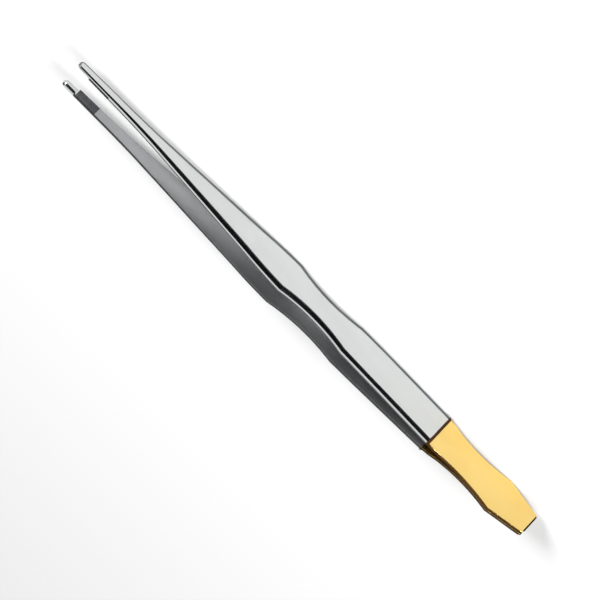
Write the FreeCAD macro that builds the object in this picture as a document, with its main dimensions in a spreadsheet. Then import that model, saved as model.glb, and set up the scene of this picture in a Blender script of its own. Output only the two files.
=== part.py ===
"""Stamp tongs: two spring arms joined at a gold-plated tail, with hatched carbide grip inserts.

The tongs lie on their side edges. X runs along the length with the tips at +X, Y is the way the
tips open and Z is the width of the arms. The origin is the middle of the footprint. Every outline
is laid out by its distance from the tip end, and the front arm is the rear arm turned half a turn
about X.
"""
import FreeCAD, Part
import os
import Sketcher
from FreeCAD import Placement, Rotation, Vector

os.makedirs("parts", exist_ok=True)
doc = FreeCAD.newDocument("stamp_tongs")

# Driving dimensions, in millimetres and degrees. "_at" is a distance from the tip end, "_width" is
# measured across the arm and "_gap" is from the mid plane of the tongs to the inner face of an arm.
# "bow_" sizes are taken half way along the blade.
DIMENSIONS = {
    "overall_length": 155.0,
    # Steel blade, seen on its wide face.
    "nose_width": 2.1,
    "shank_at": 15.0,
    "shank_width": 2.5,
    "blend_width": 2.84,
    "taper_at": 26.0,
    "taper_width": 3.38,
    "crown_at": 60.0,
    "crown_width": 8.3,
    "crown_arc_width": 9.22,
    "bulge_at": 72.2,
    "bulge_width": 9.68,
    "waist_at": 82.3,
    "waist_width": 7.45,
    "grip_at": 93.0,
    "grip_width": 9.2,
    "step_at": 123.0,
    "step_width": 9.54,
    # Gold-plated tail, seen on its wide face.
    "shoulder_at": 125.4,
    "neck_at": 133.6,
    "neck_width": 8.32,
    "flare_at": 144.4,
    "flare_width": 10.45,
    "corner_at": 154.7,
    "corner_width": 6.6,
    "corner_round": 0.6,
    # Bow of the arms, seen on their edges.
    "tip_gap": 4.5,
    "bow_gap": 3.46,
    "step_gap": 1.21,
    "leaf_bend_at": 128.0,
    "leaf_bend_gap": 0.56,
    "meet_at": 144.0,
    "meet_gap": 0.03,
    "tip_thickness": 1.4,
    "bow_thickness": 1.68,
    "step_thickness": 1.8,
    "leaf_thickness": 1.05,
    "ramp_at": 123.8,
    "blade_bevel": 0.3,
    "leaf_bevel": 0.12,
    # The flexing leaf is divided here, and its outer part swings about its inner edge.
    "hinge_at": 131.5,
    "hinge_clearance": 0.04,
    # Grip insert let into the inner face of the blade.
    "insert_start_at": 4.4,
    "insert_end_at": 10.9,
    "insert_thickness": 0.8,
    "insert_proud": 0.1,
    "insert_fit": 0.02,
    "hatch_pitch": 0.56,
    "hatch_width": 0.2,
    "hatch_depth": 0.12,
    # Weld that joins the two arms between their tail leaves.
    "weld_start_at": 145.0,
    "weld_inset": 0.5,
}

sheet = doc.addObject("Spreadsheet::Sheet", "dimensions")
for row, (alias, value) in enumerate(DIMENSIONS.items(), start=1):
    sheet.set(f"A{row}", alias)
    sheet.set(f"B{row}", str(value))
    sheet.setAlias(f"B{row}", alias)
doc.recompute()


def cell(alias):
    """Reference to a cell of the sheet, for use in an expression."""
    return f"dimensions.{alias}"


def value_of(expression):
    """Number that an expression gives with the present sheet."""
    return float(sheet.evalExpression(expression))


def along(alias):
    """X coordinate of a place that is given as a distance from the tip end."""
    return f"({cell('overall_length')} / 2 - {cell(alias)})"


def half(alias):
    return f"({cell(alias)} / 2)"


def between(first, second):
    return f"(({first} + {second}) / 2)"


# Lines of the side profile. Each face of the blade is one shallow arc from tip to step; the leaf's
# inner face is a straight run and a parabola-like arc that brings it to the mid plane.
def leaf_gap(distance):
    """Half gap between the leaves at a distance past the leaf's bend."""
    run = f"(({cell('meet_at')} - {distance}) / ({cell('meet_at')} - {cell('leaf_bend_at')}))"
    return f"({cell('meet_gap')} + ({cell('leaf_bend_gap')} - {cell('meet_gap')}) * {run} * {run})"


def blade_gap(distance):
    """Half gap between the blades, on the shallow curve from tip to step."""
    share = f"({distance} / {cell('step_at')})"
    return (f"({cell('tip_gap')} * (1 - {share}) * (1 - 2 * {share})"
            f" + 4 * {cell('bow_gap')} * {share} * (1 - {share})"
            f" + {cell('step_gap')} * {share} * (2 * {share} - 1))")


def at_distance(distance):
    return f"({cell('overall_length')} / 2 - {distance})"


def add_outline(sketch, path):
    """Closes a path of (x, y) corners, each bound to its two expressions.

    A third entry, "arc", marks a point that bends the side it stands on into an arc.
    """
    count = len(path)
    points = [Vector(value_of(point[0]), value_of(point[1]), 0) for point in path]
    sides = []
    for index in range(count):
        if len(path[index]) == 3:
            continue
        after = (index + 1) % count
        if len(path[after]) == 3:
            end = (index + 2) % count
            turn = (points[after] - points[index]).cross(points[end] - points[after]).z
            side = sketch.addGeometry(Part.Arc(points[index], points[after], points[end]), False)
            mark = sketch.addGeometry(Part.Point(points[after]), True)
            sketch.addConstraint(Sketcher.Constraint("PointOnObject", mark, 1, side))
            bind_point(sketch, mark, 1, path[after][:2])
            start = 1 if turn > 0 else 2
        else:
            side = sketch.addGeometry(Part.LineSegment(points[index], points[after]), False)
            start = 1
        sides.append((side, start, path[index]))
    for number, (side, start, point) in enumerate(sides):
        before, before_start, _ = sides[number - 1]
        sketch.addConstraint(
            Sketcher.Constraint("Coincident", before, 3 - before_start, side, start))
        bind_point(sketch, side, start, point)


def bind_point(sketch, geometry, position, point):
    """Binds a point's two coordinates to expressions of the sheet."""
    for kind, expression in zip(("DistanceX", "DistanceY"), point):
        constraint = sketch.addConstraint(Sketcher.Constraint(
            kind, -1, 1, geometry, position, value_of(expression)))
        sketch.setExpression(f"Constraints[{constraint}]", expression)


def plane_of(body, role):
    return next(item for item in body.Origin.OriginFeatures if item.Role == role)


def new_sketch(body, name, role, *paths):
    sketch = body.newObject("Sketcher::SketchObject", name)
    sketch.AttachmentSupport = (plane_of(body, role), [""])
    sketch.MapMode = "FlatFace"
    for path in paths:
        add_outline(sketch, path)
    doc.recompute()
    return sketch


# Stock that every piece is cut from, larger than the tongs each way, and the cutting frame round it.
STOCK_LENGTH = f"({cell('overall_length')} * 0.6)"
STOCK_DEPTH = f"({cell('tip_gap')} * 2)"
STOCK_WIDTH = f"({cell('flare_width')} * 1.5)"
FRAME_DEPTH = f"({STOCK_DEPTH} * 1.2)"
# A face looks outward when its normal is nearer to the opening direction than to any other.
OUTER_NORMAL = 0.6
SAME_PLACE = 1e-6


def slab(name, plan, side):
    """Body with a given outline on its wide face and a given profile on its edge."""
    body = doc.addObject("PartDesign::Body", name)
    body.Label = name
    face = new_sketch(body, f"{name}_face", "XZ_Plane", plan)
    pad = body.newObject("PartDesign::Pad", f"{name}_pad")
    pad.Profile = face
    pad.SideType = "Symmetric"
    pad.setExpression("Length", f"2 * {STOCK_DEPTH}")
    doc.recompute()
    frame = [(f"-{STOCK_LENGTH}", f"-{FRAME_DEPTH}"), (STOCK_LENGTH, f"-{FRAME_DEPTH}"),
             (STOCK_LENGTH, FRAME_DEPTH), (f"-{STOCK_LENGTH}", FRAME_DEPTH)]
    edge = new_sketch(body, f"{name}_edge", "XY_Plane", frame, side)
    trim = body.newObject("PartDesign::Pocket", f"{name}_trim")
    trim.Profile = edge
    trim.SideType = "Symmetric"
    trim.setExpression("Length", f"2 * {STOCK_WIDTH}")
    doc.recompute()
    if not 0 < trim.Shape.Volume < pad.Shape.Volume / 2:
        raise RuntimeError(f"{name}: the edge profile trimmed nothing")
    return body


def mirrored(upper):
    """Outline on the wide face from its upper half, listed from the tip end to the tail."""
    lower = [(point[0], f"-{point[1]}") + tuple(point[2:]) for point in reversed(upper)]
    return upper + lower


def is_outer(face):
    """True for the faces that look away from the other arm."""
    low_u, high_u, low_v, high_v = face.ParameterRange
    return face.normalAt((low_u + high_u) / 2, (low_v + high_v) / 2).y > OUTER_NORMAL


def bevel(body, size):
    """Bevels the edges between the outer face and the sides, leaving the cuts across the arm."""
    base = body.Tip
    names = []
    for number, edge in enumerate(base.Shape.Edges, start=1):
        faces = base.Shape.ancestorsOfType(edge, Part.Face)
        runs_along = edge.BoundBox.XLength > value_of(cell("hinge_clearance"))
        if runs_along and [is_outer(face) for face in faces].count(True) == 1:
            names.append(f"Edge{number}")
    chamfer = body.newObject("PartDesign::Chamfer", f"{body.Label}_bevel")
    chamfer.Base = (base, names)
    chamfer.setExpression("Size", cell(size))
    doc.recompute()
    if not chamfer.Shape.Volume < base.Shape.Volume:
        raise RuntimeError(f"{body.Label}: the bevel removed nothing")


# Outlines on the wide face, upper half only, from the tip end to the tail.
def neck_half_width(distance):
    """Half width of the tail on the arc that runs from its shoulder through the neck to the flare."""
    rise = f"({half('flare_width')} - {half('neck_width')})"
    reach = f"({cell('flare_at')} - {cell('neck_at')})"
    radius = f"(({reach} * {reach} + {rise} * {rise}) / (2 * {rise}))"
    offset = f"({distance} - {cell('neck_at')})"
    return f"({half('neck_width')} + {radius} - sqrt({radius} * {radius} - {offset} * {offset}))"


def arc_between(first, second, height):
    """Point that bends a side, half way between two distances from the tip end."""
    return (at_distance(between(first, second)), height, "arc")


NOSE_RADIUS = half("nose_width")
TIP = f"({cell('overall_length')} / 2)"
TAIL_END = f"(-{cell('overall_length')} / 2)"
BLADE_PLAN = mirrored([
    (at_distance(NOSE_RADIUS), NOSE_RADIUS),
    (along("shank_at"), half("shank_width")),
    arc_between(cell("shank_at"), cell("taper_at"), half("blend_width")),
    (along("taper_at"), half("taper_width")),
    (along("crown_at"), half("crown_width")),
    arc_between(cell("crown_at"), cell("bulge_at"), half("crown_arc_width")),
    (along("bulge_at"), half("bulge_width")),
    (along("waist_at"), half("waist_width"), "arc"),
    (along("grip_at"), half("grip_width")),
    (along("step_at"), half("step_width")),
]) + [(TIP, "0", "arc")]

HINGE_FRONT = f"({cell('hinge_at')} - {cell('hinge_clearance')})"
SHOULDER_HALF_WIDTH = neck_half_width(cell("shoulder_at"))
LEAF_PLAN = mirrored([
    (along("step_at"), SHOULDER_HALF_WIDTH),
    (along("shoulder_at"), SHOULDER_HALF_WIDTH),
    arc_between(cell("shoulder_at"), HINGE_FRONT,
                neck_half_width(between(cell("shoulder_at"), HINGE_FRONT))),
    (at_distance(HINGE_FRONT), neck_half_width(HINGE_FRONT)),
])

TAIL_PLAN = mirrored([
    (along("hinge_at"), neck_half_width(cell("hinge_at"))),
    arc_between(cell("hinge_at"), cell("flare_at"),
                neck_half_width(between(cell("hinge_at"), cell("flare_at")))),
    (along("flare_at"), half("flare_width")),
    (along("corner_at"), half("corner_width")),
])
TAIL_PLAN.insert(len(TAIL_PLAN) // 2, (TAIL_END, "0", "arc"))

# Profiles on the edge: the inner face from tip to tail, then the outer face back again.
OUTER_STEP = f"({cell('step_gap')} + {cell('step_thickness')})"
OUTER_BOW = f"({cell('bow_gap')} + {cell('bow_thickness')})"
OUTER_TIP = f"({cell('tip_gap')} + {cell('tip_thickness')})"
BLADE_MIDDLE = at_distance(half("step_at"))
BLADE_EDGE = [
    (TIP, cell("tip_gap")),
    (BLADE_MIDDLE, cell("bow_gap"), "arc"),
    (along("step_at"), cell("step_gap")),
    (along("step_at"), OUTER_STEP),
    (BLADE_MIDDLE, OUTER_BOW, "arc"),
    (TIP, OUTER_TIP),
]


def leaf_outer(height):
    return f"({height} + {cell('leaf_thickness')})"


LEAF_MIDDLE = between(cell("leaf_bend_at"), HINGE_FRONT)
LEAF_EDGE = [
    (along("step_at"), cell("step_gap")),
    (along("leaf_bend_at"), cell("leaf_bend_gap")),
    (at_distance(LEAF_MIDDLE), leaf_gap(LEAF_MIDDLE), "arc"),
    (at_distance(HINGE_FRONT), leaf_gap(HINGE_FRONT)),
    (at_distance(HINGE_FRONT), leaf_outer(leaf_gap(HINGE_FRONT))),
    (at_distance(LEAF_MIDDLE), leaf_outer(leaf_gap(LEAF_MIDDLE)), "arc"),
    (along("leaf_bend_at"), leaf_outer(cell("leaf_bend_gap"))),
    (along("ramp_at"), leaf_outer(f"({cell('step_gap')} + ({cell('leaf_bend_gap')} - {cell('step_gap')})"
                                  f" * ({cell('ramp_at')} - {cell('step_at')})"
                                  f" / ({cell('leaf_bend_at')} - {cell('step_at')}))")),
    (along("step_at"), OUTER_STEP),
]

TAIL_MIDDLE = between(cell("hinge_at"), cell("meet_at"))
TAIL_EDGE = [
    (along("hinge_at"), leaf_gap(cell("hinge_at"))),
    (at_distance(TAIL_MIDDLE), leaf_gap(TAIL_MIDDLE), "arc"),
    (along("meet_at"), cell("meet_gap")),
    (TAIL_END, cell("meet_gap")),
    (TAIL_END, leaf_outer(cell("meet_gap"))),
    (along("meet_at"), leaf_outer(cell("meet_gap"))),
    (at_distance(TAIL_MIDDLE), leaf_outer(leaf_gap(TAIL_MIDDLE)), "arc"),
    (along("hinge_at"), leaf_outer(leaf_gap(cell("hinge_at")))),
]

# Grip insert, in a frame of its own: X along the blade's inner face and y = 0 on its top.
INSERT_START = cell("insert_start_at")
INSERT_END = cell("insert_end_at")
INSERT_MIDDLE = between(INSERT_START, INSERT_END)
INSERT_HALF = f"(({INSERT_END} - {INSERT_START}) / 2)"
INSERT_GAP = between(blade_gap(INSERT_START), blade_gap(INSERT_END))
INNER_SLOPE = f"(({blade_gap(INSERT_START)} - {blade_gap(INSERT_END)}) / (2 * {INSERT_HALF}))"


def shank_half_width(distance):
    """Half width of the blade on its slim front run."""
    share = f"(({distance} - {NOSE_RADIUS}) / ({cell('shank_at')} - {NOSE_RADIUS}))"
    return f"({NOSE_RADIUS} + ({half('shank_width')} - {NOSE_RADIUS}) * {share})"


INSERT_PLAN = mirrored([
    (INSERT_HALF, shank_half_width(INSERT_START)),
    (f"-{INSERT_HALF}", shank_half_width(INSERT_END)),
])
INSERT_EDGE = [
    (INSERT_HALF, "0"),
    (f"-{INSERT_HALF}", "0"),
    (f"-{INSERT_HALF}", cell("insert_thickness")),
    (INSERT_HALF, cell("insert_thickness")),
]


def recess(body):
    """Cuts the seat of the grip insert across the whole inner face of a blade."""
    depth = (f"(({cell('insert_thickness')} - {cell('insert_proud')})"
             f" * sqrt(1 + {INNER_SLOPE} * {INNER_SLOPE}))")
    start = f"({INSERT_START} - {cell('insert_fit')})"
    end = f"({INSERT_END} + {cell('insert_fit')})"
    seat = [(at_distance(start), "0"), (at_distance(end), "0"),
            (at_distance(end), f"({blade_gap(end)} + {depth})"),
            (at_distance(start), f"({blade_gap(start)} + {depth})")]
    cut = body.newObject("PartDesign::Pocket", f"{body.Label}_seat")
    cut.Profile = new_sketch(body, f"{body.Label}_seat_edge", "XY_Plane", seat)
    cut.SideType = "Symmetric"
    cut.setExpression("Length", STOCK_WIDTH)
    doc.recompute()


# Each groove runs this share of the shank's width to either side of its middle line.
GROOVE_REACH = 0.75


def hatch(body):
    """Cuts two families of diagonal grooves into the top of a grip insert."""
    reach = f"({cell('shank_width')} * {GROOVE_REACH})"
    step = f"({cell('hatch_pitch')} * sqrt(2))"
    across = f"({cell('hatch_width')} * sqrt(2) / 2)"
    count = f"floor(2 * {INSERT_HALF} / {step}) + 1"
    first = f"(({count} - 1) * {step} / 2)"
    for label, lean in (("rising", 1), ("falling", -1)):
        groove = [(f"(-{first} + {lean} * {reach} - {across})", reach),
                  (f"(-{first} + {lean} * {reach} + {across})", reach),
                  (f"(-{first} - {lean} * {reach} + {across})", f"-{reach}"),
                  (f"(-{first} - {lean} * {reach} - {across})", f"-{reach}")]
        name = f"{body.Label}_{label}"
        cut = body.newObject("PartDesign::Pocket", f"{name}_groove")
        cut.Profile = new_sketch(body, f"{name}_outline", "XZ_Plane", groove)
        cut.SideType = "Symmetric"
        cut.setExpression("Length", f"2 * {cell('hatch_depth')}")
        doc.recompute()
        pattern = body.newObject("PartDesign::LinearPattern", f"{name}_grooves")
        pattern.Originals = [cut]
        pattern.Direction = (plane_of(body, "X_Axis"), [""])
        pattern.setExpression("Length", f"({count} - 1) * {step}")
        pattern.setExpression("Occurrences", count)
        body.Tip = pattern
        doc.recompute()


# Weld zone between the two tail leaves.
TAPER_SLOPE = (f"(({half('flare_width')} - {half('corner_width')})"
               f" / ({cell('corner_at')} - {cell('flare_at')}))")


def weld_half_width(distance):
    """Half width of the tail on its tapering end, less the depth at which the weld starts."""
    return (f"({half('flare_width')} - {TAPER_SLOPE} * ({distance} - {cell('flare_at')})"
            f" - {cell('weld_inset')})")


WELD_PLAN = mirrored([
    (along("weld_start_at"), weld_half_width(cell("weld_start_at"))),
    (along("corner_at"), weld_half_width(cell("corner_at"))),
])
WELD_EDGE = [
    (along("weld_start_at"), f"-{cell('meet_gap')}"),
    (along("weld_start_at"), cell("meet_gap")),
    (along("corner_at"), cell("meet_gap")),
    (along("corner_at"), f"-{cell('meet_gap')}"),
]

MIDDLE_HEIGHT = half("flare_width")


def place(body, half_turn, local="placement(vector(0; 0; 0); rotation(vector(0; 0; 1); 0))"):
    """Lifts a piece to its height above the ground; the front arm's pieces turn half a turn."""
    turn = f"rotation(vector(1; 0; 0); {half_turn})"
    body.setExpression(
        "Placement", f"placement(vector(0; 0; {MIDDLE_HEIGHT}); {turn}) * {local}")


def make_arm(arm, half_turn):
    """The four pieces of one arm, from its tip to its tail."""
    blade = slab(f"{arm}_blade", BLADE_PLAN, BLADE_EDGE)
    bevel(blade, "blade_bevel")
    recess(blade)
    place(blade, half_turn)

    leaf = slab(f"{arm}_spring_leaf", LEAF_PLAN, LEAF_EDGE)
    bevel(leaf, "leaf_bevel")
    place(leaf, half_turn)

    tail = slab(f"{arm}_tail_leaf", TAIL_PLAN, TAIL_EDGE)
    round_corners(tail)
    bevel(tail, "leaf_bevel")
    place(tail, half_turn)

    insert = slab(f"{arm}_grip_insert", INSERT_PLAN, INSERT_EDGE)
    hatch(insert)
    seat = f"vector({at_distance(INSERT_MIDDLE)}; {INSERT_GAP} - {cell('insert_proud')}; 0)"
    place(insert, half_turn,
          f"placement({seat}; rotation(vector(0; 0; 1); atan({INNER_SLOPE})))")
    return [blade, leaf, tail, insert]


def round_corners(body):
    """Rounds the two corners at the end of the tail, seen on its wide face."""
    base = body.Tip
    corner = value_of(along("corner_at"))
    names = [f"Edge{number}" for number, edge in enumerate(base.Shape.Edges, start=1)
             if edge.BoundBox.XLength < SAME_PLACE and abs(edge.BoundBox.XMin - corner) < SAME_PLACE]
    fillet = body.newObject("PartDesign::Fillet", f"{body.Label}_corners")
    fillet.Base = (base, names)
    fillet.setExpression("Radius", cell("corner_round"))
    doc.recompute()


pieces = make_arm("rear", 0) + make_arm("front", 180)
weld = slab("tail_weld", WELD_PLAN, WELD_EDGE)
place(weld, 0)
pieces.append(weld)
doc.recompute()

for item in doc.Objects:
    if "Invalid" in item.State or "Error" in item.State:
        raise RuntimeError(f"{item.Name}: {item.State}")
for piece in pieces:
    if piece.Shape.isNull() or not piece.Shape.isValid() or len(piece.Shape.Solids) != 1:
        raise RuntimeError(f"{piece.Label}: not one valid solid")
for piece in pieces:
    piece.Shape.exportStep(f"parts/{piece.Label}.step")
    box = piece.Shape.BoundBox
    print(f"{piece.Label}: {piece.Shape.Volume:.2f} mm3,"
          f" x {box.XMin:.2f} to {box.XMax:.2f}, y {box.YMin:.2f} to {box.YMax:.2f},"
          f" z {box.ZMin:.2f} to {box.ZMax:.2f}")
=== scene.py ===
import math

import bmesh
import bpy
import numpy as np
from mathutils import Matrix, Vector


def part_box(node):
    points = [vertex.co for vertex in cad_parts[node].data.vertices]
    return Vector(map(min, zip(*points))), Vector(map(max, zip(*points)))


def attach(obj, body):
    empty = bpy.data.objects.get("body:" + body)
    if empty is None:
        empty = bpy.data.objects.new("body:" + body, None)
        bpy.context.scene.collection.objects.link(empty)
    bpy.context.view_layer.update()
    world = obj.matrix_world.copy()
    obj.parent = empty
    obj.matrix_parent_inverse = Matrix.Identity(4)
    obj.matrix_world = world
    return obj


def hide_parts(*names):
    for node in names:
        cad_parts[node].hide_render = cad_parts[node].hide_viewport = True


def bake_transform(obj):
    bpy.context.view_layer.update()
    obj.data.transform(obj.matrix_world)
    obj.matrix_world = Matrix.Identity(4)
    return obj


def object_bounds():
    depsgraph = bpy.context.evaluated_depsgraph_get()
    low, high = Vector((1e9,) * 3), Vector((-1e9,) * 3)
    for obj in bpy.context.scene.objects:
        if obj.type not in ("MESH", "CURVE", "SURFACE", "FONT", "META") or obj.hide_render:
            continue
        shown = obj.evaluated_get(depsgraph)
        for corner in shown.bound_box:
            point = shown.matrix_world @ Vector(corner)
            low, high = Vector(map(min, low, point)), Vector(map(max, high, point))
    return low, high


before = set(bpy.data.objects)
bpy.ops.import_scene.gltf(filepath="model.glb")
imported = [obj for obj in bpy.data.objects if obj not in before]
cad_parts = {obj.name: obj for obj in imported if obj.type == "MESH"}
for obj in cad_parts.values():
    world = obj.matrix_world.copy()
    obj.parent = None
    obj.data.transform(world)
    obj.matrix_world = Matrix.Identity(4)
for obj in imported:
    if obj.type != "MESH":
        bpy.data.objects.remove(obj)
cad_low, cad_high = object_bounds()

# Tongs of two spring steel arms, each with a hatched grip insert behind its nose and a gold-plated
# tail, welded together at the tail's end.
#
# Lengths of the tongs are millimetres, and placed() turns them into metres. A distance runs from the
# tip end along the tongs, a half is half a width of an arm's wide face, and a height is measured from
# the mid plane between the two arms.
MM = 0.001

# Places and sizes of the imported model.
TIP_X = cad_high.x / MM
CENTRE_Z = (cad_low.z + cad_high.z) / 2 / MM
OVERALL = (cad_high.x - cad_low.x) / MM
STEP = TIP_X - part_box("front_blade")[0].x / MM
FLARE_HALF = cad_high.z / 2 / MM
STEP_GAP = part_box("rear_blade")[0].y / MM
MEET_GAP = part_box("rear_tail_leaf")[0].y / MM
PAD_START = TIP_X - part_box("rear_grip_insert")[1].x / MM
PAD_END = TIP_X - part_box("rear_grip_insert")[0].x / MM

# Each face of the blade is a shallow curve through its heights at the tip, the middle and the step. A
# gap is the inner face's height, and the thickness is added to it for the outer face.
TIP_GAP, TIP_THICKNESS = 4.5, 1.4
BOW_GAP, BOW_THICKNESS = 3.46, 1.68
STEP_THICKNESS = 1.8

# The inner face of the tail leaf runs straight to its bend and levels off where the arms meet. On the
# outside, a steep ramp leads from the blade's step down to the thinner leaf.
LEAF_THICKNESS = 1.05
LEAF_BEND, LEAF_BEND_GAP = 128.0, 0.56
MEET = 144.0
RAMP_LENGTH = 0.8
RAMP_END = STEP + RAMP_LENGTH

# Blade outline as (distance, half width). The shank, the crown and the waist are arcs, the nose is
# round, and the other stretches are straight.
NOSE_RADIUS = 1.05
SHANK, SHANK_MIDDLE, TAPER = (15.0, 1.25), (20.5, 1.42), (26.0, 1.69)
CROWN, CROWN_MIDDLE, BULGE = (60.0, 4.15), (66.1, 4.61), (72.2, 4.84)
WAIST, GRIP = (82.3, 3.725), (93.0, 4.6)
BLADE_END = (STEP, 4.77)

# Tail outline: straight to the shoulder, one arc through the neck to the flare, a straight taper to
# the rounded corners, and a bowed end.
SHOULDER, FLARE = 125.4, 144.4
NECK, NECK_HALF = 133.6, 4.16
CORNER, CORNER_HALF, CORNER_ROUND = 154.7, 3.3, 0.6
END_BOW = 0.3

# Reach of the outer rounding across the blade's face as (distance, reach), and its depth as a share of
# the reach. Then the roundings of the nose's inner face, of the tail's outer face and of the rest.
EDGE_WORK = ((0.0, 0.90), (12.0, 1.00), (20.0, 1.30), (36.0, 2.00), (55.0, 2.50), (68.0, 2.50),
             (76.0, 2.60), (84.0, 2.50), (92.0, 2.20), (101.0, 1.95), (120.0, 2.10))
EDGE_DROP = 0.30
NOSE_INNER_REACH, NOSE_INNER_DEPTH = 0.95, 0.90
LEAF_REACH, LEAF_DEPTH = 0.20, 0.12
INNER_CORNER = 0.05

# Roundings turn through ROUND_TURN. The side of an arm leans out by SIDE_LEAN from its outer rounding
# to its inner corner, and its inner strip starts at SIDE_SPLIT of its depth.
ROUND_TURN = math.radians(75)
SIDE_LEAN = 0.09
SIDE_SPLIT = 0.62

# The seat in the inner face, and the insert with a little room round it, whose crests stand proud.
SEAT_DEPTH = 0.7
SEAT_FIT = 0.02
INSERT_FIT = 0.01
INSERT_FLOOR_FIT = 0.005
INSERT_PROUD = 0.1
INSERT_RIM = 0.1
HATCH_PITCH = 0.56
HATCH_WIDTH = 0.3
HATCH_DEPTH = 0.12

# Fineness of the meshes: numbers of steps, then spacings along an arm and over an insert.
NOSE_STEPS = 14
RAMP_STEPS = 6
CORNER_TURNS = 10
END_STEPS = 10
ROUND_STEPS = 14
INNER_STEPS = 6
FACE_STEPS = 10
RING_SPACING = 0.5
FIRST_BODY_RING = 1.5
CORNER_ROOM = 0.1
PAD_GRID = 0.045

# Distances are rounded to DIGITS decimals, and SAME_PLACE allows for that. An end whose half width is
# under POINTED needs no cap. Points closer than MERGE_METRES are joined.
DIGITS = 5
SAME_PLACE = 1e-4
POINTED = 0.01
MERGE_METRES = 2e-7
SHARP_ANGLE = math.radians(20)


# Outlines and heights ---------------------------------------------------------------------------
def arc_through(first, middle, last):
    """Arc through three points, as a function of distance."""
    (ax, ay), (bx, by), (cx, cy) = first, middle, last
    twice = 2 * (ax * (by - cy) + bx * (cy - ay) + cx * (ay - by))
    a2, b2, c2 = ax * ax + ay * ay, bx * bx + by * by, cx * cx + cy * cy
    centre_x = (a2 * (by - cy) + b2 * (cy - ay) + c2 * (ay - by)) / twice
    centre_y = (a2 * (cx - bx) + b2 * (ax - cx) + c2 * (bx - ax)) / twice
    radius = math.hypot(ax - centre_x, ay - centre_y)
    side = 1 if by > centre_y else -1
    return lambda at: centre_y + side * math.sqrt(radius * radius - (at - centre_x) ** 2)


def line_through(first, last):
    """Straight line through two points, as a function of distance."""
    slope = (last[1] - first[1]) / (last[0] - first[0])
    return lambda at: first[1] + slope * (at - first[0])


shank_arc = arc_through(SHANK, SHANK_MIDDLE, TAPER)
crown_arc = arc_through(CROWN, CROWN_MIDDLE, BULGE)
waist_arc = arc_through(BULGE, WAIST, GRIP)


def blade_half(at):
    """Half width of the blade."""
    if at < NOSE_RADIUS:
        return math.sqrt(max(0.0, NOSE_RADIUS ** 2 - (NOSE_RADIUS - at) ** 2))
    if at < SHANK[0]:
        return line_through((NOSE_RADIUS, NOSE_RADIUS), SHANK)(at)
    if at < TAPER[0]:
        return shank_arc(at)
    if at < CROWN[0]:
        return line_through(TAPER, CROWN)(at)
    if at < BULGE[0]:
        return crown_arc(at)
    if at < GRIP[0]:
        return waist_arc(at)
    return line_through(GRIP, BLADE_END)(at)


NECK_RADIUS = ((FLARE - NECK) ** 2 + (FLARE_HALF - NECK_HALF) ** 2) / (2 * (FLARE_HALF - NECK_HALF))
END_RADIUS = CORNER_HALF ** 2 / (2 * END_BOW) + END_BOW / 2
SIDE_ANGLE = math.atan2(FLARE_HALF - CORNER_HALF, CORNER - FLARE)
# Centre of the corner's fillet, which touches the tapered side, and the stretch of the outline that it
# makes. The centre's room from the end and the fillet's last point are shares of its radius.
FILLET_ROOM, FILLET_LAST = 1.02, 0.985
ROUND_AT = OVERALL - END_BOW - CORNER_ROUND * FILLET_ROOM
ROUND_HALF = (CORNER_HALF + (CORNER - ROUND_AT) * math.tan(SIDE_ANGLE)
              - CORNER_ROUND / math.cos(SIDE_ANGLE))
ROUND_START = ROUND_AT + CORNER_ROUND * math.sin(SIDE_ANGLE)
ROUND_STOP = ROUND_AT + CORNER_ROUND * FILLET_LAST


def tail_half(at):
    """Half width of the gold-plated tail."""
    if at < FLARE:
        offset = max(at, SHOULDER) - NECK
        return NECK_HALF + NECK_RADIUS - math.sqrt(NECK_RADIUS ** 2 - offset ** 2)
    if at < ROUND_START:
        return line_through((FLARE, FLARE_HALF), (CORNER, CORNER_HALF))(at)
    if at < ROUND_STOP:
        return ROUND_HALF + math.sqrt(CORNER_ROUND ** 2 - (at - ROUND_AT) ** 2)
    return math.sqrt(max(0.0, END_RADIUS ** 2 - (at - OVERALL + END_RADIUS) ** 2))


def bowed(at, tip, middle, end):
    """Height on the parabola through the heights at the tip, the blade's middle and the step."""
    share = at / STEP
    return (tip * (1 - share) * (1 - 2 * share) + 4 * middle * share * (1 - share)
            + end * share * (2 * share - 1))


def inner_height(at):
    """Inner face of an arm, from the tip to the tail's end."""
    if at < STEP:
        return bowed(at, TIP_GAP, BOW_GAP, STEP_GAP)
    if at < LEAF_BEND:
        return line_through((STEP, STEP_GAP), (LEAF_BEND, LEAF_BEND_GAP))(at)
    run = max(0.0, MEET - at) / (MEET - LEAF_BEND)
    return MEET_GAP + (LEAF_BEND_GAP - MEET_GAP) * run * run


def blade_outer(at):
    """Outer face of the blade."""
    return bowed(at, TIP_GAP + TIP_THICKNESS, BOW_GAP + BOW_THICKNESS, STEP_GAP + STEP_THICKNESS)


def tail_outer(at):
    """Outer face of the tail: the ramp at the step, then the thin leaf."""
    leaf = inner_height(at) + LEAF_THICKNESS
    if at >= RAMP_END:
        return leaf
    share = (at - STEP) / (RAMP_END - STEP)
    return (STEP_GAP + STEP_THICKNESS) * (1 - share) + leaf * share


# Rings round an arm -----------------------------------------------------------------------------
# Ways for an inset to lead from an outline: straight across, or along the length from either end.
ACROSS = (0.0, 1.0)
FROM_TIP = (-1.0, 0.0)
FROM_TAIL = (1.0, 0.0)
# Least share of an inset that goes across, where the outline turns square to the length.
LEAST_SQUARE = 0.05


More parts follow.
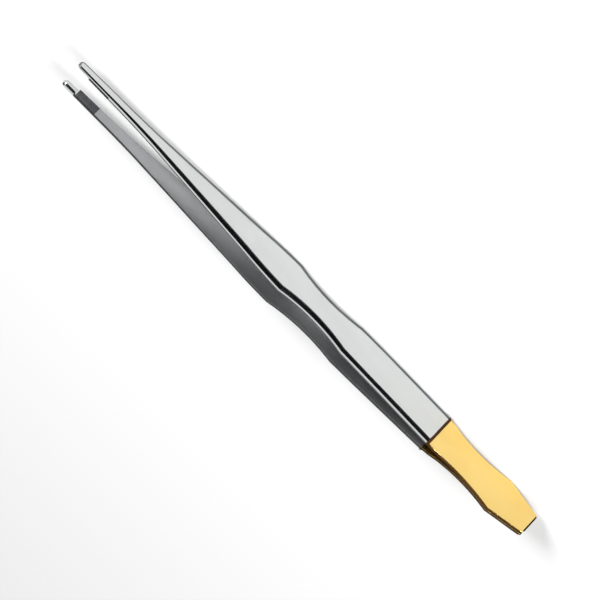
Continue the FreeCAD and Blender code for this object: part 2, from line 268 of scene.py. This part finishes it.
def outline(half, places, turning, first_way, last_way):
    """Rows of distance, half width, and how far one unit of inset leads along and across.

    turning says how much of an inset goes along the length: 1 round an end, 0 along the sides.
    """
    points = [(at, half(at)) for at in places]
    rows = []
    for index, (at, width) in enumerate(points):
        before = points[max(0, index - 1)]
        after = points[min(len(points) - 1, index + 1)]
        run, rise = after[0] - before[0], after[1] - before[1]
        length = math.hypot(run, rise)
        along, square = -rise / length, run / length
        lean = along * turning(at)
        rows.append((at, width, lean, (1 - lean * along) / max(square, LEAST_SQUARE)))
    rows[0] = (*rows[0][:2], *first_way)
    rows[-1] = (*rows[-1][:2], *last_way)
    return rows


def blade_work(at):
    """Reach and depth of the blade's outer rounding, then of its inner one."""
    reach = float(np.interp(at, *zip(*EDGE_WORK)))
    if at < PAD_START - SEAT_FIT:
        return reach, reach * EDGE_DROP, NOSE_INNER_REACH, NOSE_INNER_DEPTH
    return reach, reach * EDGE_DROP, INNER_CORNER, INNER_CORNER


def leaf_work(_):
    """The same for the tail, where it doesn't change along the length."""
    return LEAF_REACH, LEAF_DEPTH, INNER_CORNER, INNER_CORNER


def rounding(reach, depth, steps):
    """Insets and depths of a rounding, from the face to the side."""
    for index in range(steps + 1):
        turn = ROUND_TURN * index / steps
        yield (reach * (1 - math.sin(turn) / math.sin(ROUND_TURN)),
               depth * (1 - math.cos(turn)) / (1 - math.cos(ROUND_TURN)))


def section(row, outer, inner, work, seat):
    """One closed ring of points (distance, width, height) round an arm."""
    at, width, lean, square = row
    reach, depth, inner_reach, inner_depth = work(at)
    thickness = outer(at) - inner(at) - seat
    side = thickness - depth - inner_depth
    half_ring = [(inset + SIDE_LEAN, drop) for inset, drop in rounding(reach, depth, ROUND_STEPS)]
    half_ring.append((SIDE_LEAN * (1 - SIDE_SPLIT), depth + side * SIDE_SPLIT))
    half_ring += [(inset, thickness - drop)
                  for inset, drop in reversed(list(rounding(inner_reach, inner_depth, INNER_STEPS)))]

    def point(inset, drop, side_sign):
        moved = min(max(at - inset * lean, 0.0), OVERALL)
        share = min(1.0, drop / thickness)
        height = outer(moved) + (inner(moved) + seat - outer(moved)) * share
        return moved, side_sign * max(0.0, width - inset * square), height

    def across(start, end):
        return [tuple(a + (b - a) * step / FACE_STEPS for a, b in zip(start, end))
                for step in range(1, FACE_STEPS)]

    right = [point(*entry, 1) for entry in half_ring]
    left = [point(*entry, -1) for entry in reversed(half_ring)]
    return right + across(right[-1], left[0]) + left + across(left[-1], right[0])


# Parts of a ring: the outer face, the steep rim of its rounding, the side, the side's inner strip, and
# the inner face. The rim takes these steps of the rounding.
OUTER, RIM, SIDE, STRIP, INNER = range(5)
RIM_FROM, RIM_TO = 6, 13


def ring_parts():
    """The part that each stretch between two neighbouring points of a ring belongs to."""
    rounded = [OUTER] * RIM_FROM + [RIM] * (RIM_TO - RIM_FROM) + [SIDE] * (ROUND_STEPS - RIM_TO)
    edge = rounded + [SIDE, STRIP] + [INNER] * INNER_STEPS
    return edge + [INNER] * FACE_STEPS + edge[::-1] + [OUTER] * FACE_STEPS


def placed(at, wide, height, arm_side):
    """A point of an arm in metres. arm_side is +1 for the rear arm and -1 for the front arm."""
    return (TIP_X - at) * MM, arm_side * height * MM, (CENTRE_Z + arm_side * wide) * MM


def mesh_object(name, mesh, materials):
    """Object made from a finished mesh, linked to the scene."""
    data = bpy.data.meshes.new(name)
    mesh.to_mesh(data)
    mesh.free()
    for material in materials:
        data.materials.append(material)
    piece = bpy.data.objects.new(name, data)
    bpy.context.scene.collection.objects.link(piece)
    return piece


def skin_object(name, rings, arm_side, materials, pick):
    """Smooth skin over rings. pick gives a material's number from a distance and a ring's part."""
    mesh = bmesh.new()
    skins = [[mesh.verts.new(placed(*point, arm_side)) for point in ring] for ring in rings]
    parts = ring_parts()
    count = len(parts)
    for ring, first, second in zip(rings, skins, skins[1:]):
        for index, part in enumerate(parts):
            after = (index + 1) % count
            face = mesh.faces.new((first[index], first[after], second[after], second[index]))
            face.material_index = pick(ring[index][0], part)
    for ring, skin in ((rings[0], skins[0]), (rings[-1], skins[-1])):
        if max(abs(wide) for _, wide, _ in ring) > POINTED:
            mesh.faces.new(skin)
    bmesh.ops.remove_doubles(mesh, verts=mesh.verts, dist=MERGE_METRES)
    bmesh.ops.dissolve_degenerate(mesh, edges=mesh.edges, dist=MERGE_METRES)
    bmesh.ops.recalc_face_normals(mesh, faces=mesh.faces)
    for face in mesh.faces:
        face.smooth = True
    piece = mesh_object(name, mesh, materials)
    piece.data.set_sharp_from_angle(angle=SHARP_ANGLE)
    return piece


# Shader nodes -----------------------------------------------------------------------------------
# Noise lies mostly between these two values.
NOISE_LOW, NOISE_HIGH = 0.3, 0.7


def new_material(name):
    """Material, its nodes and links, its shader, and the place on the object."""
    material = bpy.data.materials.new(name)
    material.use_nodes = True
    nodes, links = material.node_tree.nodes, material.node_tree.links
    shader = nodes["Principled BSDF"]
    place = nodes.new("ShaderNodeTexCoord")
    return material, nodes, links, shader, place.outputs["Object"]


def noise(nodes, links, place, scale, detail):
    """Noise over the object, with its own scale along each axis, per metre."""
    mapping = nodes.new("ShaderNodeMapping")
    mapping.inputs["Scale"].default_value = scale
    texture = nodes.new("ShaderNodeTexNoise")
    texture.inputs["Scale"].default_value = 1.0
    texture.inputs["Detail"].default_value = detail
    links.new(place, mapping.inputs["Vector"])
    links.new(mapping.outputs["Vector"], texture.inputs["Vector"])
    return texture.outputs["Fac"]


def spread(nodes, links, value, target, source=(NOISE_LOW, NOISE_HIGH)):
    """Maps a value from one range onto another."""
    node = nodes.new("ShaderNodeMapRange")
    for name, number in zip(("From Min", "From Max", "To Min", "To Max"), (*source, *target)):
        node.inputs[name].default_value = number
    links.new(value, node.inputs["Value"])
    return node.outputs["Result"]


def colour_ramp(nodes, links, value, stops):
    """Colours at a few positions from 0 to 1, joined by straight runs."""
    ramp = nodes.new("ShaderNodeValToRGB")
    elements = ramp.color_ramp.elements
    while len(elements) < len(stops):
        elements.new(0.5)
    for element, (position, colour) in zip(elements, stops):
        element.position = position
        element.color = (*colour, 1)
    links.new(value, ramp.inputs["Fac"])
    return ramp.outputs["Color"]


def math_node(nodes, links, operation, first, second=None):
    """Math node whose inputs are sockets or numbers."""
    node = nodes.new("ShaderNodeMath")
    node.operation = operation
    for socket, value in zip(node.inputs, (first, second)):
        if isinstance(value, (int, float)):
            socket.default_value = value
        elif value is not None:
            links.new(value, socket)
    return node.outputs[0]


# Materials --------------------------------------------------------------------------------------
# Scales of noise along each axis, per metre: brushed along the arms, even, and broad clouds.
ALONG_GRAIN = (250, 6000, 6000)
ROUND_GRAIN = (4000, 4000, 4000)
CLOUDS = (90, 260, 260)
GRAIN_DETAIL = 3.0
CLOUD_DETAIL = 2.0
GRAIN_STRENGTH = 0.6


def metal(name, dark, light, roughness, grain, grain_depth):
    """A worked metal: fine grain in its roughness and relief, and soft clouds in its colour."""
    material, nodes, links, shader, place = new_material(name)
    shader.inputs["Metallic"].default_value = 1.0
    fine = noise(nodes, links, place, grain, GRAIN_DETAIL)
    cloud = noise(nodes, links, place, CLOUDS, CLOUD_DETAIL)
    colour = colour_ramp(nodes, links, cloud, ((NOISE_LOW, dark), (NOISE_HIGH, light)))
    links.new(colour, shader.inputs["Base Color"])
    links.new(spread(nodes, links, fine, roughness), shader.inputs["Roughness"])
    bump = nodes.new("ShaderNodeBump")
    bump.inputs["Distance"].default_value = grain_depth * MM
    bump.inputs["Strength"].default_value = GRAIN_STRENGTH
    links.new(fine, bump.inputs["Height"])
    links.new(bump.outputs["Normal"], shader.inputs["Normal"])
    return material


steel_outer = metal("satin_steel", dark=(0.570, 0.583, 0.575), light=(0.600, 0.613, 0.605),
                    roughness=(0.10, 0.17), grain=ALONG_GRAIN, grain_depth=0.0006)
steel_inner = metal("blasted_steel", dark=(0.345, 0.352, 0.362), light=(0.385, 0.392, 0.402),
                    roughness=(0.35, 0.43), grain=ROUND_GRAIN, grain_depth=0.004)
carbide = metal("carbide", dark=(0.028, 0.029, 0.031), light=(0.060, 0.061, 0.064),
                roughness=(0.38, 0.55), grain=ROUND_GRAIN, grain_depth=0.006)
gold_face = metal("gold_plate", dark=(0.77, 0.550, 0.180), light=(0.80, 0.585, 0.210),
                  roughness=(0.14, 0.22), grain=ALONG_GRAIN, grain_depth=0.0006)
weld_metal = metal("weld_metal", dark=(0.42, 0.24, 0.06), light=(0.62, 0.39, 0.12),
                   roughness=(0.3, 0.5), grain=ROUND_GRAIN, grain_depth=0.004)
# The edges' dark colours are painted reflections of dark surroundings, which a polished edge would
# mirror.
painted_reflection_steel = metal("painted_reflection_steel_rim", dark=(0.105, 0.110, 0.116), light=(0.150, 0.156, 0.164),
                   roughness=(0.12, 0.20), grain=ALONG_GRAIN, grain_depth=0.0004)
gold_painted_reflection = metal("gold_painted_reflection", dark=(0.060, 0.022, 0.003), light=(0.110, 0.050, 0.010),
                  roughness=(0.24, 0.36), grain=ALONG_GRAIN, grain_depth=0.0010)
# The ramp's near-black colour is painted shade in the step.
gold_painted_shade_ramp = metal("gold_painted_shade_ramp", dark=(0.035, 0.012, 0.003), light=(0.055, 0.02, 0.005),
                  roughness=(0.3, 0.45), grain=ROUND_GRAIN, grain_depth=0.0010)


# Blades -----------------------------------------------------------------------------------------
def ordered(places):
    """Distances in order, each one once."""
    return sorted({round(at, DIGITS) for at in places})


SEAT_START = round(PAD_START - SEAT_FIT, DIGITS)
SEAT_END = round(PAD_END + SEAT_FIT, DIGITS)


def blade_places():
    """Distances of the blade's rings, close together round the nose."""
    nose = [NOSE_RADIUS * (1 - math.cos(math.pi / 2 * step / NOSE_STEPS))
            for step in range(NOSE_STEPS + 1)]
    body = list(np.arange(FIRST_BODY_RING, STEP, RING_SPACING))
    corners = [SHANK[0], TAPER[0], CROWN[0], BULGE[0], GRIP[0], STEP]
    return ordered(nose + body + [SEAT_START, SEAT_END] + corners)


def seat_depths(at):
    """Depth of the insert's seat. Each of its ends has two, for the upright wall there."""
    if at == SEAT_START:
        return 0.0, SEAT_DEPTH
    if at == SEAT_END:
        return SEAT_DEPTH, 0.0
    if SEAT_START < at < SEAT_END:
        return (SEAT_DEPTH,)
    return (0.0,)


def pick_steel(at, part):
    """0 satin outside and nose, 1 rim and strip in a painted dark reflection, 2 blasted inner face."""
    if part in (RIM, STRIP):
        return 1
    if part in (OUTER, SIDE) or at < SEAT_START - SEAT_FIT:
        return 0
    return 2


def make_blade(arm, arm_side):
    """Blade of an arm, from the nose to the step, with the seat for its insert."""
    rows = outline(blade_half, blade_places(), lambda at: 1.0 if at < NOSE_RADIUS else 0.0,
                   FROM_TIP, ACROSS)
    rings = [section(row, blade_outer, inner_height, blade_work, seat)
             for row in rows for seat in seat_depths(row[0])]
    piece = skin_object(f"{arm}_arm_blade", rings, arm_side,
                        [steel_outer, painted_reflection_steel, steel_inner], pick_steel)
    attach(piece, f"{arm}_arm")
    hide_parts(f"{arm}_blade")


# Tail springs -----------------------------------------------------------------------------------
# Length over which the insets turn from across to along, before the tail's end.
END_STRETCH = 3.0


def tail_places():
    """Distances of the tail's rings, close together on the ramp and round the end."""
    ramp = [STEP + (RAMP_END - STEP) * step / RAMP_STEPS for step in range(RAMP_STEPS + 1)]
    body_start = math.ceil(RAMP_END / RING_SPACING) * RING_SPACING
    body = list(np.arange(body_start, ROUND_START - CORNER_ROOM, RING_SPACING))
    last_turn = math.asin((ROUND_STOP - ROUND_AT) / CORNER_ROUND)
    corner = [ROUND_AT + CORNER_ROUND * math.sin(turn)
              for turn in np.linspace(SIDE_ANGLE, last_turn, CORNER_TURNS)]
    end_turn = math.acos((ROUND_STOP - OVERALL + END_RADIUS) / END_RADIUS)
    end = [OVERALL - END_RADIUS + END_RADIUS * math.cos(end_turn * (1 - step / END_STEPS))
           for step in range(1, END_STEPS + 1)]
    return ordered(ramp + body + [SHOULDER, FLARE] + corner + end)


def end_turning(at):
    """Rises from 0 to 1 over the last stretch before the tail's end corner."""
    share = min(1.0, max(0.0, (at - CORNER + END_STRETCH) / END_STRETCH))
    return share * share * (3 - 2 * share)


def pick_gold(at, part):
    """0 faces, 1 edges in a painted dark reflection, 2 the ramp at the step in painted shade."""
    if part in (OUTER, RIM) and at < RAMP_END - SAME_PLACE:
        return 2
    if part in (SIDE, STRIP):
        return 1
    return 0


def make_tail(arm, arm_side):
    """Gold-plated tail of an arm, which bends between the tail and the blade."""
    rows = outline(tail_half, tail_places(), end_turning, ACROSS, FROM_TAIL)
    rings = [section(row, tail_outer, inner_height, leaf_work, 0.0) for row in rows]
    piece = skin_object(f"{arm}_tail_spring", rings, arm_side,
                        [gold_face, gold_painted_reflection, gold_painted_shade_ramp], pick_gold)
    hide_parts(f"{arm}_spring_leaf", f"{arm}_tail_leaf")
    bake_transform(piece)


# Grip inserts -----------------------------------------------------------------------------------
def groove(value):
    """Depth share of a V groove at a place across its family of grooves."""
    offset = abs((value / HATCH_PITCH) % 1.0 - 0.5) * HATCH_PITCH
    return max(0.0, 1 - offset / (HATCH_WIDTH / 2))


def hatch_drop(at, wide, half):
    """How far the working face lies below its crests: crossing grooves and a rounded rim."""
    rim = min(1.0, (half - abs(wide)) / INSERT_RIM)
    cut = max(groove((at + wide) / math.sqrt(2)), groove((at - wide) / math.sqrt(2)))
    return HATCH_DEPTH * cut + INSERT_RIM * (1 - rim) ** 2


def close_plate(mesh, top, base):
    """Faces between two equal grids of points, and round their four sides."""
    columns, rows = len(top) - 1, len(top[0]) - 1
    for i in range(columns):
        for j in range(rows):
            mesh.faces.new((top[i][j], top[i][j + 1], top[i + 1][j + 1], top[i + 1][j]))
            mesh.faces.new((base[i][j], base[i + 1][j], base[i + 1][j + 1], base[i][j + 1]))
        for j in (0, rows):
            mesh.faces.new((top[i][j], top[i + 1][j], base[i + 1][j], base[i][j]))
    for j in range(rows):
        for i in (0, columns):
            mesh.faces.new((top[i][j], top[i][j + 1], base[i][j + 1], base[i][j]))
    bmesh.ops.recalc_face_normals(mesh, faces=mesh.faces)


def make_insert(arm, arm_side):
    """Grip insert with crossing V grooves cut into its working face."""
    low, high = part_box(f"{arm}_grip_insert")
    length, width = (high.x - low.x) / MM - 2 * INSERT_FIT, (high.z - low.z) / MM
    columns, rows = round(length / PAD_GRID), round(width / PAD_GRID)
    mesh = bmesh.new()
    top, base = [], []
    for i in range(columns + 1):
        at = PAD_START + INSERT_FIT + length * i / columns
        half = blade_half(at) - INSERT_FIT
        crest = inner_height(at) - INSERT_PROUD
        floor = inner_height(at) + SEAT_DEPTH - INSERT_FLOOR_FIT
        widths = [half * (2 * j / rows - 1) for j in range(rows + 1)]
        top.append([mesh.verts.new(placed(at, wide, crest + hatch_drop(at, wide, half), arm_side))
                    for wide in widths])
        base.append([mesh.verts.new(placed(at, wide, floor, arm_side)) for wide in widths])
    close_plate(mesh, top, base)
    piece = mesh_object(f"{arm}_hatched_insert", mesh, [carbide])
    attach(piece, f"{arm}_arm")
    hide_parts(f"{arm}_grip_insert")


for arm_name, arm_direction in (("rear", 1), ("front", -1)):
    make_blade(arm_name, arm_direction)
    make_tail(arm_name, arm_direction)
    make_insert(arm_name, arm_direction)
for weld_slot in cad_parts["tail_weld"].material_slots:
    weld_slot.material = weld_metal


# Stage, in metres -------------------------------------------------------------------------------
FLOOR_REACH = 3.0
FLOOR_TONE = (0.8, 0.8, 0.8, 1)

# Surround: its level at each angle from the front horizon, over the top, to the horizon behind, and
# how it dims sideways, by the sideways part of the direction.
SURROUND = ((0, 0.012), (72, 0.012), (88, 1.0), (144, 1.0), (152, 0.14), (180, 0.14))
SURROUND_LEVEL = 1.05
SIDEWAYS, SIDEWAYS_LEVEL = (0.38, 0.6), (1.0, 0.06)
BACKDROP_LEVEL = 0.97

SOFTBOX_PLACE = (0.7, -0.675, 0.5)
SOFTBOX_SIZE = 0.5
SOFTBOX_POWER = 14.5

# The camera looks at a point beside the middle of the tongs, AIM_RIGHT and AIM_UP from it.
AZIMUTH, ELEVATION, ROLL = math.radians(1.03), math.radians(32.39), math.radians(-135.70)
CAMERA_DISTANCE = 1.5
AIM_RIGHT, AIM_UP = -0.00010, -0.00011
LENS, SENSOR_WIDTH = 374.5, 36.0
CLIP_START, CLIP_END = 0.01, 50.0


def make_floor():
    """Plain pale sheet under the tongs."""
    corners = [(-FLOOR_REACH, -FLOOR_REACH, 0), (FLOOR_REACH, -FLOOR_REACH, 0),
               (FLOOR_REACH, FLOOR_REACH, 0), (-FLOOR_REACH, FLOOR_REACH, 0)]
    data = bpy.data.meshes.new("floor")
    data.from_pydata(corners, [], [(0, 1, 2, 3)])
    floor = bpy.data.objects.new("floor", data)
    bpy.context.scene.collection.objects.link(floor)
    material, _, _, shader, _ = new_material("pale_floor")
    shader.inputs["Base Color"].default_value = FLOOR_TONE
    shader.inputs["Roughness"].default_value = 1.0
    shader.inputs["Specular IOR Level"].default_value = 0.0
    data.materials.append(material)


def make_world():
    """Soft studio surround: a broad bright band overhead, dim at the front horizon and behind.

    The camera itself sees an even pale backdrop past the floor's edge.
    """
    world = bpy.data.worlds.new("studio")
    bpy.context.scene.world = world
    world.use_nodes = True
    nodes, links = world.node_tree.nodes, world.node_tree.links
    background = nodes["Background"]
    place = nodes.new("ShaderNodeTexCoord")
    split = nodes.new("ShaderNodeSeparateXYZ")
    links.new(place.outputs["Generated"], split.inputs["Vector"])
    ahead = math_node(nodes, links, "MULTIPLY", split.outputs["Y"], -1.0)
    turn = math_node(nodes, links, "ARCTAN2", split.outputs["Z"], ahead)
    share = math_node(nodes, links, "DIVIDE", turn, math.pi)
    level = colour_ramp(nodes, links, share,
                        [(angle / 180, (amount, amount, amount)) for angle, amount in SURROUND])
    level = math_node(nodes, links, "MULTIPLY", level, SURROUND_LEVEL)
    sideways = math_node(nodes, links, "ABSOLUTE", split.outputs["X"])
    dimming = spread(nodes, links, sideways, SIDEWAYS_LEVEL, SIDEWAYS)
    level = math_node(nodes, links, "MULTIPLY", level, dimming)
    path = nodes.new("ShaderNodeLightPath")
    mix = nodes.new("ShaderNodeMix")
    links.new(path.outputs["Is Camera Ray"], mix.inputs["Factor"])
    links.new(level, mix.inputs["A"])
    mix.inputs["B"].default_value = BACKDROP_LEVEL
    links.new(mix.outputs["Result"], background.inputs["Strength"])
    background.inputs["Color"].default_value = (1, 1, 1, 1)


def make_lights():
    """A soft box beyond each end of the tongs, which lights the floor evenly."""
    reach, depth, rise = SOFTBOX_PLACE
    for end in (-1, 1):
        data = bpy.data.lights.new("softbox", "AREA")
        data.shape = "SQUARE"
        data.size = SOFTBOX_SIZE
        data.energy = SOFTBOX_POWER
        light = bpy.data.objects.new("softbox", data)
        light.location = (end * reach, depth, rise)
        light.rotation_euler = (-light.location).to_track_quat("-Z", "Y").to_euler()
        bpy.context.scene.collection.objects.link(light)


def make_camera():
    """Long lens above the front arm's wide face, rolled so that the tips point up and left."""
    back = Vector((math.sin(AZIMUTH) * math.cos(ELEVATION),
                   -math.cos(AZIMUTH) * math.cos(ELEVATION), math.sin(ELEVATION)))
    level = Vector((math.cos(AZIMUTH), math.sin(AZIMUTH), 0))
    steep = back.cross(level)
    right = math.cos(ROLL) * level + math.sin(ROLL) * steep
    up = math.cos(ROLL) * steep - math.sin(ROLL) * level
    data = bpy.data.cameras.new("camera")
    data.lens = LENS
    data.sensor_width = SENSOR_WIDTH
    data.clip_start, data.clip_end = CLIP_START, CLIP_END
    camera = bpy.data.objects.new("camera", data)
    bpy.context.scene.collection.objects.link(camera)
    target = Vector((0, 0, CENTRE_Z * MM)) + right * AIM_RIGHT + up * AIM_UP
    camera.matrix_world = (Matrix.Translation(target + back * CAMERA_DISTANCE)
                           @ Matrix((right, up, back)).transposed().to_4x4())
    bpy.context.scene.camera = camera


make_floor()
make_world()
make_lights()
make_camera()
bpy.context.scene.view_settings.view_transform = "Standard"
